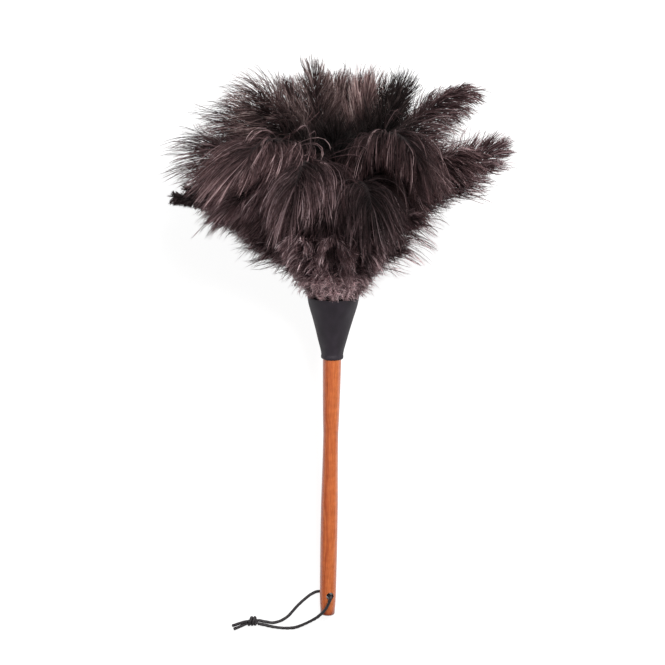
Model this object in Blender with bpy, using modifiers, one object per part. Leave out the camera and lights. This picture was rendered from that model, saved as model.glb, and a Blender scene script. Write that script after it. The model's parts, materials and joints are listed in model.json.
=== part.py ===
"""A feather duster lying at rest on a table.

A turned wooden handle ends in a tenon. Four rings of ostrich plumes are bound round the tenon
with wire, a leather ferrule covers the bindings, and a cord loop for hanging the duster up is
tied through a hole at the butt. Run it with blender --background --python part.py.

The pieces are modelled in the duster's own frame, with the origin at the middle of the butt and
+Z along the handle towards the plumes, and then laid down: +X right, +Y towards the plumes, +Z up
from the table, which is z = 0. The angle of a plume is counted from +X towards the upper side.
All sizes are in metres.
"""

from math import atan2, cos, exp, pi, radians, sin, sqrt

import bmesh
import bpy
from mathutils import Matrix, Vector

# How the duster lies
TILT = radians(10.5)  # the handle's rise from the butt to the head
LEAN = radians(1.02)  # the handle's turn to the right, seen from above
BUTT_X = -0.0055  # where the middle of the butt is, so that the bounding box is centred
BUTT_Y = -0.2778

# Handle
HANDLE_LENGTH = 0.2640  # the part that shows, from the butt to the ferrule
HANDLE_PROFILE = (  # height above the butt, radius
    (0.0000, 0.0064),
    (0.0003, 0.0069),
    (0.0012, 0.0073),
    (0.0048, 0.0074),
    (0.0120, 0.0079),
    (0.0210, 0.0082),
    (0.0320, 0.0083),
    (0.0700, 0.0086),
    (0.1180, 0.0085),
    (0.1380, 0.0081),
    (0.1670, 0.00765),
    (0.1870, 0.0075),
    (0.2020, 0.0080),
    (0.2320, 0.0087),
    (0.2600, 0.0091),
    (0.2700, 0.0091),
)
SHOULDER = 0.0006  # height of the slope between the handle and the tenon
TENON_RADIUS = 0.0052
TENON_LENGTH = 0.0360
TENON_EDGE = 0.0005
HANDLE_SIDES = 40

HOLE_HEIGHT = 0.0210
HOLE_RADIUS = 0.0038
HOLE_TURN = radians(17.0)  # the hole's turn about the handle, from straight up
DRILL_LENGTH = 0.04

# Ferrule
FERRULE_FOOT = HANDLE_LENGTH
FERRULE_OUTSIDE = (  # height above the foot, radius
    (0.0000, 0.0100),
    (0.0010, 0.0105),
    (0.0070, 0.01105),
    (0.0617, 0.0254),
)
FERRULE_WALL = 0.0010
FERRULE_LENGTH = FERRULE_OUTSIDE[-1][0]
FERRULE_SIDES = 48
MOUTH = FERRULE_FOOT + FERRULE_LENGTH

# Rings of plumes
QUILL_RADIUS = 0.0009
QUILL_ROOT = FERRULE_FOOT + 0.0280  # where the quills of the three outer rings start
GAP = 0.0003  # between pieces that touch
TENON_FOOT = HANDLE_PROFILE[-1][0] + SHOULDER
CORE_ROOT = TENON_FOOT + TENON_LENGTH + GAP
SPLAY_LENGTH = 0.08  # share of a plume in which it turns from the ferrule's slope to its own lean
BLADE_THICKNESS = 0.0016
BLADE_HALF_WIDTH = 0.020
BLADE_ROOT_SWELL = 0.10  # where on a half sine the blade's outline starts
BLADE_SWELL_SPAN = 0.78  # and how much of the half sine it follows
BLADE_FULLNESS = 0.8  # power of that half sine
BLADE_SHARE = 0.80  # of the room between two neighbours
BLADE_TIP = 0.5  # of the width at the last section
BLADE_RINGS = 11
FLOOR_SOFTNESS = 0.0040

# ring: plumes in it, first angle, radius at the binding, radius at the mouth, lowest height,
# and how far the barbs reach past the end of the rachis
RINGS = {
    "core": dict(count=6, first=30.0, binding=0.0036, mouth=0.0060, floor=0.0340, fringe=0.030),
    "inner": dict(count=12, first=0.0, binding=0.0068, mouth=0.0120, floor=0.0240, fringe=0.024),
    "middle": dict(count=12, first=15.0, binding=0.0102, mouth=0.0170, floor=0.0120, fringe=0.022),
    "outer": dict(count=12, first=0.0, binding=0.0138, mouth=0.0220, floor=0.0, fringe=0.016),
}
# Each plume past the mouth: its rachis's length, its angle from the handle's axis a little past the mouth
# and at its tip, and how late it bends. They go round each ring from the right, over the top.
PLUMES = {
    "core": (
        (0.200, 11, 26, 1.8),
        (0.165, 6, 24, 2.0),
        (0.200, 10, 40, 2.0),
        (0.208, 3, 8, 2.0),
        (0.186, 6, 12, 2.0),
        (0.188, 6, 12, 2.0),
    ),
    "inner": (
        (0.238, 15, 66, 2.8),
        (0.200, 22, 84, 2.2),
        (0.244, 13, 142, 3.4),
        (0.140, 6, 16, 2.0),
        (0.250, 17, 138, 3.0),
        (0.185, 19, 100, 2.2),
        (0.172, 21, 68, 1.9),
        (0.190, 18, 50, 1.9),
        (0.205, 16, 36, 2.0),
        (0.200, 9, 22, 2.0),
        (0.190, 6, 16, 2.0),
        (0.182, 14, 38, 2.0),
    ),
    "middle": (
        (0.204, 35, 62, 2.0),
        (0.138, 25, 95, 2.0),
        (0.200, 13, 160, 2.8),
        (0.224, 12, 162, 3.0),
        (0.180, 18, 130, 2.4),
        (0.176, 34, 84, 1.8),
        (0.155, 34, 68, 1.8),
        (0.175, 28, 56, 1.8),
        (0.175, 20, 42, 1.8),
        (0.175, 20, 42, 1.8),
        (0.172, 24, 52, 1.8),
        (0.150, 30, 54, 1.8),
    ),
    "outer": (
        (0.070, 27, 58, 1.6),
        (0.076, 25, 78, 1.7),
        (0.085, 24, 60, 1.8),
        (0.085, 21, 60, 1.8),
        (0.085, 25, 60, 1.8),
        (0.085, 26, 76, 1.7),
        (0.172, 37, 86, 1.6),
        (0.100, 34, 60, 1.6),
        (0.120, 32, 58, 1.6),
        (0.120, 30, 52, 1.6),
        (0.115, 31, 56, 1.6),
        (0.098, 34, 62, 1.6),
    ),
}
BINDINGS = {  # height above the ferrule's foot, tube radius
    "core": (0.0480, 0.0005),
    "inner": (0.0340, 0.0005),
    "middle": (0.0370, 0.0005),
    "outer": (0.0400, 0.0005),
}

# Cord, in the lying frame, from the middle of the butt at table height
CORD_RADIUS = 0.0015
FRONT_LEG = (  # out of the hole's upper mouth, over the handle and down to the knot
    (0.0032, 0.0185, 0.0225),
    (0.0025, 0.0158, 0.0222),
    (0.0009, 0.0115, 0.0205),
    (-0.0016, 0.0067, 0.0183),
    (-0.0057, 0.0017, 0.0153),
    (-0.0110, -0.0033, 0.0107),
    (-0.0187, -0.0082, 0.0062),
    (-0.0264, -0.0121, 0.0034),
    (-0.0335, -0.0146, 0.0021),
    (-0.0416, -0.0153, 0.0016),
    (-0.0488, -0.0149, 0.0016),
    (-0.0564, -0.0138, 0.0016),
    (-0.0640, -0.0119, 0.0021),
    (-0.0709, -0.0105, 0.0030),
)
BACK_LEG = (  # out of the hole's lower mouth, under the handle and along the table to the knot
    (-0.0043, 0.0221, 0.0017),
    (-0.0077, 0.0222, 0.0016),
    (-0.0121, 0.0215, 0.0016),
    (-0.0172, 0.0189, 0.0016),
    (-0.0228, 0.0146, 0.0016),
    (-0.0287, 0.0093, 0.0016),
    (-0.0340, 0.0037, 0.0016),
    (-0.0386, -0.0016, 0.0016),
    (-0.0437, -0.0057, 0.0016),
    (-0.0498, -0.0086, 0.0016),
    (-0.0564, -0.0098, 0.0016),
    (-0.0640, -0.0085, 0.0021),
    (-0.0707, -0.0071, 0.0030),
)
KNOT_CENTRE = Vector((-0.0761, -0.0078, 0.0036))
KNOT_SIZE = Vector((0.0095, 0.0100, 0.0072))
TAILS = {
    "cord_tail_upper": (
        (-0.0815, -0.0080, 0.0044),
        (-0.0864, -0.0094, 0.0030),
        (-0.0915, -0.0112, 0.0018),
        (-0.0971, -0.0130, 0.0016),
    ),
    "cord_tail_lower": (
        (-0.0812, -0.0102, 0.0020),
        (-0.0857, -0.0122, 0.0016),
        (-0.0905, -0.0144, 0.0016),
        (-0.0955, -0.0163, 0.0016),
    ),
}
CORD_STEP = 0.0060  # between the points of a cord's tube
CORD_IN_HOLE = (-0.0093, -0.0060, 0.0, 0.0060, 0.0098)  # places along the hang hole, from below
CORD_PULL = 0.0004  # how far the cord is drawn towards the butt in its hole


# ---------------------------------------------------------------- scene and materials


def clear_scene():
    for old in list(bpy.data.objects):
        bpy.data.objects.remove(old, do_unlink=True)


def new_collection(name):
    collection = bpy.data.collections.new(name)
    bpy.context.scene.collection.children.link(collection)
    return collection


def make_material(name, colour, roughness, metallic=0.0):
    material = bpy.data.materials.new(name)
    material.use_nodes = True
    shader = material.node_tree.nodes["Principled BSDF"]
    shader.inputs["Base Color"].default_value = (*colour, 1.0)
    shader.inputs["Roughness"].default_value = roughness
    shader.inputs["Metallic"].default_value = metallic
    return material


def add_object(name, data, material, collection):
    data.materials.append(material)
    obj = bpy.data.objects.new(name, data)
    collection.objects.link(obj)
    return obj


# ---------------------------------------------------------------- the duster's frame


def butt_height():
    """Height of the butt's middle that sets the butt's lowest point on the table."""
    return max(radius * cos(TILT) - height * sin(TILT) for height, radius in HANDLE_PROFILE)


def resting_frame():
    place = Matrix.Translation((BUTT_X, BUTT_Y, butt_height()))
    return place @ Matrix.Rotation(-LEAN, 4, "Z") @ Matrix.Rotation(TILT - pi / 2, 4, "X")


def outward(angle):
    """Unit vector away from the handle's axis: to the right at 0, up from the table at 90 degrees."""
    return Vector((cos(radians(angle)), -sin(radians(angle)), 0.0))


# ---------------------------------------------------------------- turned pieces


def turned(name, profile, sides, material, collection):
    """A solid of revolution about the duster's axis. The profile runs top to bottom outside."""
    mesh = bpy.data.meshes.new(name)
    points = [(radius, 0.0, height) for height, radius in profile]
    edges = [(i, i + 1) for i in range(len(points) - 1)]
    mesh.from_pydata(points, edges, [])
    obj = add_object(name, mesh, material, collection)
    screw = obj.modifiers.new("Turn", "SCREW")
    screw.steps = sides
    screw.render_steps = sides
    screw.use_merge_vertices = True
    screw.merge_threshold = 0.00005
    screw.use_smooth_shade = True
    return obj


def make_handle(material, collection, cutters):
    tenon_end = TENON_FOOT + TENON_LENGTH
    profile = [(0.0, 0.0), *HANDLE_PROFILE]
    profile += [(TENON_FOOT, TENON_RADIUS), (tenon_end - TENON_EDGE, TENON_RADIUS)]
    profile += [(tenon_end, TENON_RADIUS - TENON_EDGE), (tenon_end, 0.0)]
    handle = turned("handle", profile[::-1], HANDLE_SIDES, material, collection)

    mesh = bpy.data.meshes.new("hang_hole")
    shape = bmesh.new()
    bmesh.ops.create_cone(
        shape, cap_ends=True, segments=24, radius1=HOLE_RADIUS, radius2=HOLE_RADIUS, depth=DRILL_LENGTH
    )
    shape.to_mesh(mesh)
    shape.free()
    drill = add_object("hang_hole", mesh, material, cutters)
    along = Matrix.Rotation(HOLE_TURN, 4, "Z") @ Matrix.Rotation(pi / 2, 4, "X")
    drill.matrix_world = Matrix.Translation((0.0, 0.0, HOLE_HEIGHT)) @ along
    drill.hide_render = True
    drill.display_type = "WIRE"
    cut = handle.modifiers.new("Hang hole", "BOOLEAN")
    cut.operation = "DIFFERENCE"
    cut.solver = "EXACT"
    cut.object = drill
    return handle, drill


def make_ferrule(material, collection):
    outside = [(FERRULE_FOOT + height, radius) for height, radius in FERRULE_OUTSIDE]
    inside = [(height, radius - FERRULE_WALL) for height, radius in outside]
    inside[0] = (inside[0][0], inside[1][1])
    ring = outside[::-1] + inside
    return turned("ferrule", ring + ring[:1], FERRULE_SIDES, material, collection)


def make_binding(ring, material, collection):
    """A turn of wire that holds one ring of quills."""
    height, wire = BINDINGS[ring]
    bpy.ops.mesh.primitive_torus_add(
        major_radius=RINGS[ring]["binding"] + QUILL_RADIUS + GAP + wire,
        minor_radius=wire,
        major_segments=36,
        minor_segments=6,
    )
    obj = bpy.context.active_object
    obj.name = f"binding_{ring}"
    obj.data.name = obj.name
    obj.data.materials.append(material)
    for holder in list(obj.users_collection):
        holder.objects.unlink(obj)
    collection.objects.link(obj)
    obj.location = (0.0, 0.0, FERRULE_FOOT + height)
    obj.data.shade_smooth()
    return obj


# ---------------------------------------------------------------- plumes


def ring_root(ring):
    return CORE_ROOT if ring == "core" else QUILL_ROOT


def flare_start(ring):
    """Height just above the ring's binding, where its quills start to splay."""
    return FERRULE_FOOT + BINDINGS[ring][0] + 2 * BINDINGS[ring][1]


def flare(ring):
    """Angle of the ring's quills from the axis, between the binding and the mouth."""
    size = RINGS[ring]
    return atan2(size["mouth"] - size["binding"], MOUTH - flare_start(ring))


def plume_angle(ring, number):
    size = RINGS[ring]
    return size["first"] + number * 360.0 / size["count"]


def blade_line(ring, number, steps):
    """The plume's centre line past the mouth, as (distance from the axis, height) pairs.

    It runs along the rachis and on to the ends of the last barbs.
    """
    length, lean, tip, late = PLUMES[ring][number]
    reach = length + RINGS[ring]["fringe"]
    start = flare(ring)
    radius = RINGS[ring]["mouth"]
    height = MOUTH
    line = [(radius, height)]
    fine = 12
    for step in range(steps * fine):
        t = (step + 0.5) / (steps * fine) * reach / length
        angle = start + (radians(lean) - start) * (1 - exp(-t / SPLAY_LENGTH))
        angle += radians(tip - lean) * t**late
        radius += reach / (steps * fine) * sin(angle)
        height += reach / (steps * fine) * cos(angle)
        if (step + 1) % fine == 0:
            line.append((radius, height))
    return line


def half_width(ring, t, radius):
    """Half the blade's width at t along it, within what its neighbours leave."""
    swell = sin(pi * (BLADE_ROOT_SWELL + BLADE_SWELL_SPAN * t)) ** BLADE_FULLNESS
    room = BLADE_SHARE * radius * sin(pi / RINGS[ring]["count"])
    return max(QUILL_RADIUS, min(BLADE_HALF_WIDTH * swell, room - GAP))


def pressed(point, lowest):
    """A point kept above the table by a soft limit, as the plume lies on it."""
    over = (point.z - lowest) / FLOOR_SOFTNESS
    if over > 8:
        return point
    lifted = lowest + FLOOR_SOFTNESS * (sqrt(over * over + 1.0) + over) / 2
    return Vector((point.x, point.y, lifted))


def make_plume(ring, number, material, collection, frame):
    """A thin closed blade on a round quill, lofted along the plume's centre line."""
    angle = plume_angle(ring, number)
    out = outward(angle)
    side = outward(angle + 90.0)
    bound = RINGS[ring]["binding"]
    line = [(bound, ring_root(ring)), (bound, flare_start(ring))]
    mouth = len(line)
    line += blade_line(ring, number, BLADE_RINGS)

    shape = bmesh.new()
    sections = []
    for i, (radius, height) in enumerate(line):
        before = line[max(i - 1, 0)]
        after = line[min(i + 1, len(line) - 1)]
        run = out * (after[0] - before[0]) + Vector((0, 0, after[1] - before[1]))
        across = side.cross(run.normalized())
        wide = QUILL_RADIUS
        thick = QUILL_RADIUS
        if i > mouth:
            wide = half_width(ring, (i - mouth) / BLADE_RINGS, radius)
            thick = BLADE_THICKNESS / 2
        if i == len(line) - 1:
            wide *= BLADE_TIP
        centre = out * radius + Vector((0, 0, height))
        section = []
        for corner in range(6):
            turn = corner * pi / 3
            point = centre + side * (wide * cos(turn)) + across * (thick * sin(turn))
            point = frame @ point
            if i > mouth:
                point = pressed(point, RINGS[ring]["floor"] + thick * (1 + sin(turn)))
            section.append(shape.verts.new(point))
        sections.append(section)
    for lower, upper in zip(sections, sections[1:]):
        for i in range(6):
            j = (i + 1) % 6
            shape.faces.new((lower[i], lower[j], upper[j], upper[i]))
    shape.faces.new(sections[0][::-1])
    shape.faces.new(sections[-1])
    bmesh.ops.recalc_face_normals(shape, faces=shape.faces)
    mesh = bpy.data.meshes.new(f"plume_{ring}_{number + 1:02d}")
    shape.to_mesh(mesh)
    shape.free()
    mesh.shade_smooth()
    return add_object(mesh.name, mesh, material, collection)


# ---------------------------------------------------------------- cord


def smooth_route(route, step):
    """Evenly spaced points on a smooth curve through a route."""
    points = [Vector(point) for point in route]
    ends = [2 * points[0] - points[1], *points, 2 * points[-1] - points[-2]]
    fine = []
    for i in range(1, len(ends) - 2):
        a, b, c, d = ends[i - 1 : i + 3]
        for k in range(16):
            t = k / 16
            fine.append(
                b
                + (c - a) * (t / 2)
                + (2 * a - 5 * b + 4 * c - d) * (t * t / 2)
                + (3 * b - a - 3 * c + d) * (t**3 / 2)
            )
    fine.append(points[-1])
    lengths = [0.0]
    for a, b in zip(fine, fine[1:]):
        lengths.append(lengths[-1] + (b - a).length)
    count = max(3, round(lengths[-1] / step) + 1)
    even = []
    place = 0
    for i in range(count):
        want = lengths[-1] * i / (count - 1)
        while place < len(fine) - 2 and lengths[place + 1] < want:
            place += 1
        share = (want - lengths[place]) / (lengths[place + 1] - lengths[place])
        even.append(fine[place].lerp(fine[place + 1], min(1.0, share)))
    return even


def make_cord(name, route, material, collection):
    curve = bpy.data.curves.new(name, "CURVE")
    curve.dimensions = "3D"
    curve.bevel_depth = CORD_RADIUS
    curve.bevel_resolution = 2
    curve.use_fill_caps = True
    points = smooth_route(route, CORD_STEP)
    spline = curve.splines.new("POLY")
    spline.points.add(len(points) - 1)
    for place, point in zip(spline.points, points):
        place.co = (point.x + BUTT_X, point.y + BUTT_Y, point.z, 1.0)
        place.radius = 1.0
    return add_object(name, curve, material, collection)


def hole_route(frame):
    """Where the cord runs through the hang hole, in the cord's frame, from below to above."""
    up = outward(90.0 - HOLE_TURN * 180 / pi)
    places = []
    for along in CORD_IN_HOLE:
        point = frame @ (up * along + Vector((0.0, 0.0, HOLE_HEIGHT - CORD_PULL)))
        places.append((point.x - BUTT_X, point.y - BUTT_Y, point.z))
    return places


def make_knot(material, collection):
    mesh = bpy.data.meshes.new("cord_knot")
    shape = bmesh.new()
    bmesh.ops.create_uvsphere(shape, u_segments=16, v_segments=10, radius=0.5)
    shape.to_mesh(mesh)
    shape.free()
    mesh.transform(Matrix.Diagonal((*KNOT_SIZE, 1.0)))
    mesh.shade_smooth()
    knot = add_object("cord_knot", mesh, material, collection)
    knot.location = KNOT_CENTRE + Vector((BUTT_X, BUTT_Y, 0.0))
    return knot


# ---------------------------------------------------------------- assembly


def main():
    clear_scene()
    duster = new_collection("feather_duster")
    cutters = new_collection("cutters")
    cutters.hide_render = True

    frame = resting_frame()
    rest = bpy.data.objects.new("duster_frame", None)
    rest.matrix_world = frame
    duster.objects.link(rest)

    wood = make_material("varnished_wood", (0.55, 0.14, 0.04), 0.35)
    leather = make_material("black_leather", (0.030, 0.026, 0.030), 0.60)
    wire = make_material("binding_wire", (0.50, 0.48, 0.45), 0.40, 1.0)
    cord = make_material("waxed_cord", (0.020, 0.018, 0.020), 0.50)

    in_duster_frame = [*make_handle(wood, duster, cutters), make_ferrule(leather, duster)]
    in_duster_frame += [make_binding(ring, wire, duster) for ring in RINGS]
    for obj in in_duster_frame:
        obj.parent = rest

    for ring, size in RINGS.items():
        plumage = make_material(f"plume_{ring}", (0.055, 0.040, 0.040), 0.80)
        for number in range(size["count"]):
            make_plume(ring, number, plumage, duster, frame)

    hole = hole_route(frame)
    make_cord("cord_front_leg", [*hole, *FRONT_LEG], cord, duster)
    make_cord("cord_back_leg", BACK_LEG, cord, duster)
    make_knot(cord, duster)
    for name, route in TAILS.items():
        make_cord(name, route, cord, duster)
    bpy.context.view_layer.update()


main()
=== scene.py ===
"""Looks of a feather duster lying on a pale table, seen from straight above.

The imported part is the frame. This script builds the handle, the leather ferrule, the plumes with
their barbs, and the hanging cord around it. All sizes are in metres.
"""

import json
from math import atan2, cos, pi, radians, sin

import bpy
import numpy as np
from mathutils import Matrix, Vector


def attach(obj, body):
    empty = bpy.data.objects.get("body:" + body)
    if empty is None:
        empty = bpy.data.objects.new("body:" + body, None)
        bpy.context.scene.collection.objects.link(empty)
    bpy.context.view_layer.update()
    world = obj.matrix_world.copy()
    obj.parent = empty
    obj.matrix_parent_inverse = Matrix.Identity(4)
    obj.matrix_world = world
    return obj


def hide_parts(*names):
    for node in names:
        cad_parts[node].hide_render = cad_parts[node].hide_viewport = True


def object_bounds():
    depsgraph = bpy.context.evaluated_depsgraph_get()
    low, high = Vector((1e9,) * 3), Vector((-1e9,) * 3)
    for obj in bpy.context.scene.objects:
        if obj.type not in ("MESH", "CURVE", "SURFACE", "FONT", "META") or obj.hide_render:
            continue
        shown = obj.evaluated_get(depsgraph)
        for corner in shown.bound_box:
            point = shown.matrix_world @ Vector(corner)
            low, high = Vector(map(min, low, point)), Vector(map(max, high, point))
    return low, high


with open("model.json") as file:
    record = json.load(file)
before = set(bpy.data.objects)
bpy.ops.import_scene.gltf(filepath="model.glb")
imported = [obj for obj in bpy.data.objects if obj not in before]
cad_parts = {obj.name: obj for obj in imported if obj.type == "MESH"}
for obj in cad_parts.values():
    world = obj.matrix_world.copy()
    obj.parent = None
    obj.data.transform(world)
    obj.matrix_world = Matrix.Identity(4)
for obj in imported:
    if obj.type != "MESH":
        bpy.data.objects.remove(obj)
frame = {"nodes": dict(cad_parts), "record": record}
CAD_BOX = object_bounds()

# ---------------------------------------------------------------- the duster's own frame
# The butt's mount gives its middle and the handle's direction.

MOUNT = frame["record"]["mounts"][0]
BUTT = np.array(MOUNT["pos_m"])
ALONG = -np.array(MOUNT["axis"]) / np.linalg.norm(MOUNT["axis"])
RIGHT = np.cross(ALONG, (0.0, 0.0, 1.0))
RIGHT /= np.linalg.norm(RIGHT)
UP = np.cross(RIGHT, ALONG)


def mesh_points(mesh):
    return np.array([vertex.co for vertex in mesh.vertices])


def node_reach(node):
    """Lowest and highest place of a node along the handle, counted from the butt."""
    heights = (mesh_points(frame["nodes"][node].data) - BUTT) @ ALONG
    return heights.min(), heights.max()


FERRULE_FOOT, MOUTH = node_reach("ferrule")
QUILL_ROOT = node_reach("plume_outer_01")[0]
CORE_ROOT = node_reach("plume_core_01")[0]


def outward(angle):
    """Away from the handle's axis: to the right at 0, up from the table at 90 degrees."""
    return RIGHT * cos(radians(angle)) + UP * sin(radians(angle))


def in_row_frame(points):
    """Points given as (right, up, along) from the butt, in the row's frame."""
    points = np.asarray(points, float)
    return BUTT + points[..., :1] * RIGHT + points[..., 1:2] * UP + points[..., 2:3] * ALONG


# ---------------------------------------------------------------- plumes, as the frame has them

RINGS = {
    "core": dict(count=6, first=30.0, bound=0.0036, mouth=0.0060, splay=0.0490, floor=0.0340),
    "inner": dict(count=12, first=0.0, bound=0.0068, mouth=0.0120, splay=0.0350, floor=0.0240),
    "middle": dict(count=12, first=15.0, bound=0.0102, mouth=0.0170, splay=0.0380, floor=0.0120),
    "outer": dict(count=12, first=0.0, bound=0.0138, mouth=0.0220, splay=0.0410, floor=0.0),
}
# Each plume past the mouth: its length, its angle from the handle's axis a little past the mouth
# and at its tip, and how late it bends. They go round each ring from the right, over the top.
PLUMES = {
    "core": (
        (0.200, 11, 26, 1.8), (0.165, 6, 24, 2.0), (0.200, 10, 40, 2.0),
        (0.208, 3, 8, 2.0), (0.186, 6, 12, 2.0), (0.188, 6, 12, 2.0),
    ),
    "inner": (
        (0.238, 15, 66, 2.8), (0.200, 22, 84, 2.2), (0.244, 13, 142, 3.4),
        (0.140, 6, 16, 2.0), (0.250, 17, 138, 3.0), (0.185, 19, 100, 2.2),
        (0.172, 21, 68, 1.9), (0.190, 18, 50, 1.9), (0.205, 16, 36, 2.0),
        (0.200, 9, 22, 2.0), (0.190, 6, 16, 2.0), (0.182, 14, 38, 2.0),
    ),
    "middle": (
        (0.204, 35, 62, 2.0), (0.138, 25, 95, 2.0), (0.200, 13, 160, 2.8),
        (0.224, 12, 162, 3.0), (0.180, 18, 130, 2.4), (0.176, 34, 84, 1.8),
        (0.155, 34, 68, 1.8), (0.175, 28, 56, 1.8), (0.175, 20, 42, 1.8),
        (0.175, 20, 42, 1.8), (0.172, 24, 52, 1.8), (0.150, 30, 54, 1.8),
    ),
    "outer": (
        (0.070, 27, 58, 1.6), (0.076, 25, 78, 1.7), (0.085, 24, 60, 1.8),
        (0.085, 21, 60, 1.8), (0.085, 25, 60, 1.8), (0.085, 26, 76, 1.7),
        (0.172, 37, 86, 1.6), (0.100, 34, 60, 1.6), (0.120, 32, 58, 1.6),
        (0.120, 30, 52, 1.6), (0.115, 31, 56, 1.6), (0.098, 34, 62, 1.6),
    ),
}
QUILL_RADIUS = 0.0009
QUILL_SIDES = 6
QUILL_TAPER = 0.80  # the share of its thickness that a rachis loses by its tip
MOUTH_BEND = 0.08  # the share of a rachis in which it leans over, past the mouth
RACHIS_STEPS = 80
FLOOR_SOFTNESS = 0.0040
CROWN_SOFTNESS = 0.0060
CROWN = CAD_BOX[1][2] + 0.004  # the plumes' highest barbs
BARB_FLOOR = 0.0012  # the lowest barbs' middle
RIM_GAP = 0.0004


def soft_limit(points, height, softness, way):
    """Points kept above a height (way 1) or below it (way -1), gently and not in one plane."""
    past = way * (points[..., 2] - height) / softness
    soft = height + way * softness * (np.sqrt(past * past + 1.0) + past) / 2
    kept = points.copy()
    kept[..., 2] = np.where(past > 8, points[..., 2], soft)
    return kept


def pressed(points, lowest):
    """Points as they lie on the table."""
    return soft_limit(points, lowest, FLOOR_SOFTNESS, 1)


def above_rim(points):
    """Points kept out of the ferrule's leather: none reaches below its rim."""
    below = MOUTH + RIM_GAP - (points - BUTT) @ ALONG
    return points + np.maximum(below, 0)[..., None] * ALONG


def unit(vectors):
    return vectors / np.maximum(np.linalg.norm(vectors, axis=-1, keepdims=True), 1e-9)


def rachis_line(ring, number):
    """The plume's centre line from the ferrule's mouth to its tip, and its turn round the ring."""
    size = RINGS[ring]
    length, lean, tip, late = PLUMES[ring][number]
    start = atan2(size["mouth"] - size["bound"], MOUTH - FERRULE_FOOT - size["splay"])
    t = (np.arange(RACHIS_STEPS) + 0.5) / RACHIS_STEPS
    angle = start + (radians(lean) - start) * (1 - np.exp(-t / MOUTH_BEND))
    angle = angle + radians(tip - lean) * t**late
    radius = size["mouth"] + np.concatenate([[0], np.cumsum(np.sin(angle)) * length / RACHIS_STEPS])
    height = MOUTH + np.concatenate([[0], np.cumsum(np.cos(angle)) * length / RACHIS_STEPS])
    turn = size["first"] + number * 360.0 / size["count"]
    points = BUTT + radius[:, None] * outward(turn) + height[:, None] * ALONG
    return pressed(points, size["floor"] + QUILL_RADIUS), turn


# ---------------------------------------------------------------- meshes


def add_object(name, data):
    obj = bpy.data.objects.new(name, data)
    bpy.context.scene.collection.objects.link(obj)
    return obj


def stand_for(obj, node):
    """A visible piece stands for a node of the frame, and rides on the one body."""
    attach(obj, "root")
    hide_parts(node)


def put_channels(mesh, name, values):
    """Store four values on each point, for the material to read."""
    layer = mesh.color_attributes.new(name, "FLOAT_COLOR", "POINT")
    layer.data.foreach_set("color", np.asarray(values, np.float32).ravel())


def mesh_object(name, points, quads, tris, material, strand=None, uv=None):
    """A mesh object from arrays, with the strand channels and the UV map where they are given."""
    mesh = bpy.data.meshes.new(name)
    quads = np.asarray(quads, np.int32).reshape(-1, 4)
    tris = np.asarray(tris, np.int32).reshape(-1, 3)
    corners = np.concatenate([quads.ravel(), tris.ravel()])
    starts = np.concatenate([np.arange(len(quads)) * 4, len(quads) * 4 + np.arange(len(tris)) * 3])
    mesh.vertices.add(len(points))
    mesh.vertices.foreach_set("co", np.asarray(points, np.float32).ravel())
    mesh.loops.add(len(corners))
    mesh.loops.foreach_set("vertex_index", corners)
    mesh.polygons.add(len(starts))
    mesh.polygons.foreach_set("loop_start", starts.astype(np.int32))
    mesh.update(calc_edges=True)
    mesh.shade_smooth()
    if strand is not None:
        put_channels(mesh, "strand", strand)
    if uv is not None:
        layer = mesh.uv_layers.new(name="OFBake")
        layer.data.foreach_set("uv", np.asarray(uv, np.float32)[corners].ravel())
    mesh.materials.append(material)
    return add_object(name, mesh)


def ring_quads(rows, sides):
    """The quads between rows of points that go round a surface, each row joined to the next."""
    here = np.arange(sides)
    beside = (here + 1) % sides
    row = (np.arange(rows - 1) * sides)[:, None]
    quads = np.stack([row + here, row + beside, row + sides + beside, row + sides + here], -1)
    return quads.reshape(-1, 4)


def tubes(paths, radii, sides, reference):
    """Closed tubes along many paths of the same number of points, each running to a point.

    Returns the points, quads and triangles, and three values for each point: its tube, its place
    along the tube and its place around it (both 0 to 1).
    """
    count, steps = paths.shape[:2]
    run = unit(np.gradient(paths, axis=1))
    first = unit(np.cross(reference, run))
    second = np.cross(run, first)
    turn = (np.arange(sides) * 2 * pi / sides)[:, None]
    ring = first[:, :-1, None] * np.cos(turn) + second[:, :-1, None] * np.sin(turn)
    rings = paths[:, :-1, None] + ring * radii[:, :-1, None, None]
    body = (steps - 1) * sides
    points = np.concatenate([rings.reshape(count, body, 3), paths[:, -1:]], axis=1)
    base = (np.arange(count) * (body + 1))[:, None, None]
    here = np.arange(sides)
    last = (steps - 2) * sides
    tips = np.stack([last + here, last + (here + 1) % sides, np.full(sides, body)], -1)
    fan = np.arange(1, sides - 1)
    caps = np.stack([np.zeros_like(fan), fan + 1, fan], -1)
    quads = (base + ring_quads(steps - 1, sides)).reshape(-1, 4)
    tris = np.concatenate([(base + tips).reshape(-1, 3), (base + caps).reshape(-1, 3)])
    owner = np.repeat(np.arange(count), body + 1)
    along = np.concatenate([np.repeat(np.arange(steps - 1), sides), [steps - 1]]) / (steps - 1)
    around = np.concatenate([np.tile(here / (sides - 1), steps - 1), [0.5]])
    return points.reshape(-1, 3), quads, tris, owner, np.tile(along, count), np.tile(around, count)


# ---------------------------------------------------------------- materials


def connect(node, inputs):
    """Give each named input of a node its value, or link it to the socket given."""
    for key, value in inputs.items():
        if isinstance(value, bpy.types.NodeSocket):
            node.id_data.links.new(value, node.inputs[key])
        else:
            node.inputs[key].default_value = value


def new_material(name):
    """A material, its shader, and a short way to add nodes: make(kind, inputs, attribute=value)."""
    material = bpy.data.materials.new(name)
    material.use_nodes = True
    nodes = material.node_tree.nodes

    def make(kind, inputs=None, **settings):
        node = nodes.new(kind)
        for key, value in settings.items():
            setattr(node, key, value)
        connect(node, inputs or {})
        return node

    return material, nodes["Principled BSDF"], make


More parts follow.
